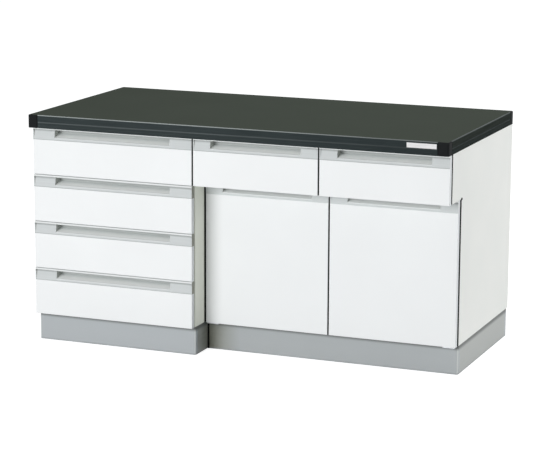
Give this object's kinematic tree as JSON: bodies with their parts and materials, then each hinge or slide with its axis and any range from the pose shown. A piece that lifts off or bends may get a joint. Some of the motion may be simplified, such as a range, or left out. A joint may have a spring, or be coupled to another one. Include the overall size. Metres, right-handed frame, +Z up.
{
  "type": "laboratory bench",
  "caption": "Free-standing laboratory bench: dark worktop over a drawer pedestal and a set-back cupboard with drawers above its doors, on a grey plinth.",
  "frame": {"origin": "on the floor under the middle of the worktop", "axes": "+X along the bench to the right as seen by a person at its front, +Y to the back, +Z up"},
  "size_m": [1.5, 0.75, 0.8],
  "materials": {
    "worktop_laminate": "matt dark laminate",
    "edge_trim": "satin extruded edge",
    "corner_cap": "satin moulded",
    "core_board": "raw board",
    "plain_plate": "plain white plate",
    "front_white": "white melamine face",
    "white_board": "white melamine face",
    "drawer_board": "wrapped board",
    "handle_grey": "satin moulded grey",
    "plinth_grey": "grey laminate face",
    "zinc_steel": "zinc plated",
    "bright_steel": "bright plated",
    "catch_plastic": "moulded"
  },
  "bodies": {
    "bench": {"worktop_core": "core_board", "worktop_laminate": "worktop_laminate", "name_plate": "plain_plate", "edge_trim_front": "edge_trim", "edge_trim_back": "edge_trim", "edge_trim_sides": "edge_trim", "corner_caps": "corner_cap", "left_end_panel": "white_board", "pedestal_inner_panel": "white_board", "pedestal_base": "white_board", "cupboard_inner_panel": "white_board", "right_end_panel": "white_board", "cupboard_base": "white_board", "back_panels": "white_board", "drawer_deck": "white_board", "upper_partition": "white_board", "top_rails": "white_board", "cupboard_shelf": "white_board", "shelf_pins": "bright_steel", "pedestal_plinth_front": "plinth_grey", "cupboard_plinth_front": "plinth_grey", "pedestal_plinth_return": "plinth_grey", "plinth_sides": "plinth_grey", "plinth_backs": "plinth_grey", "runner_channels": "zinc_steel", "pivot_brackets": "zinc_steel", "pivot_pins": "bright_steel", "door_catches": "catch_plastic", "joining_bolts": "bright_steel", "worktop_screws": "bright_steel"},
    "pedestal_drawer_1": {"pedestal_drawer_1_front": "front_white", "pedestal_drawer_1_handle": "handle_grey", "pedestal_drawer_1_box": "drawer_board", "pedestal_drawer_1_runners": "zinc_steel"},
    "pedestal_drawer_2": {"pedestal_drawer_2_front": "front_white", "pedestal_drawer_2_handle": "handle_grey", "pedestal_drawer_2_box": "drawer_board", "pedestal_drawer_2_runners": "zinc_steel"},
    "pedestal_drawer_3": {"pedestal_drawer_3_front": "front_white", "pedestal_drawer_3_handle": "handle_grey", "pedestal_drawer_3_box": "drawer_board", "pedestal_drawer_3_runners": "zinc_steel"},
    "pedestal_drawer_4": {"pedestal_drawer_4_front": "front_white", "pedestal_drawer_4_handle": "handle_grey", "pedestal_drawer_4_box": "drawer_board", "pedestal_drawer_4_runners": "zinc_steel"},
    "upper_drawer_left": {"upper_drawer_left_front": "front_white", "upper_drawer_left_handle": "handle_grey", "upper_drawer_left_box": "drawer_board", "upper_drawer_left_runners": "zinc_steel"},
    "upper_drawer_right": {"upper_drawer_right_front": "front_white", "upper_drawer_right_handle": "handle_grey", "upper_drawer_right_box": "drawer_board", "upper_drawer_right_runners": "zinc_steel"},
    "left_door": {"left_door_panel": "front_white", "left_door_handle": "handle_grey", "left_door_strike": "bright_steel"},
    "right_door": {"right_door_panel": "front_white", "right_door_handle": "handle_grey", "right_door_strike": "bright_steel"}
  },
  "joints": [
    {"name": "pedestal_drawer_1_slide", "type": "slide", "parent": "bench", "child": "pedestal_drawer_1", "axis": [0, -1, 0], "range_m": [0, 0.4]},
    {"name": "pedestal_drawer_2_slide", "type": "slide", "parent": "bench", "child": "pedestal_drawer_2", "axis": [0, -1, 0], "range_m": [0, 0.4]},
    {"name": "pedestal_drawer_3_slide", "type": "slide", "parent": "bench", "child": "pedestal_drawer_3", "axis": [0, -1, 0], "range_m": [0, 0.4]},
    {"name": "pedestal_drawer_4_slide", "type": "slide", "parent": "bench", "child": "pedestal_drawer_4", "axis": [0, -1, 0], "range_m": [0, 0.4]},
    {"name": "upper_drawer_left_slide", "type": "slide", "parent": "bench", "child": "upper_drawer_left", "axis": [0, -1, 0], "range_m": [0, 0.4]},
    {"name": "upper_drawer_right_slide", "type": "slide", "parent": "bench", "child": "upper_drawer_right", "axis": [0, -1, 0], "range_m": [0, 0.4]},
    {"name": "left_door_hinge", "type": "hinge", "parent": "bench", "child": "left_door", "pos_m": [-0.137, -0.233, 0.34363], "axis": [0, 0, -1], "range_deg": [0, 90]},
    {"name": "right_door_hinge", "type": "hinge", "parent": "bench", "child": "right_door", "pos_m": [0.736, -0.233, 0.34363], "axis": [0, 0, 1], "range_deg": [0, 110]}
  ]
}
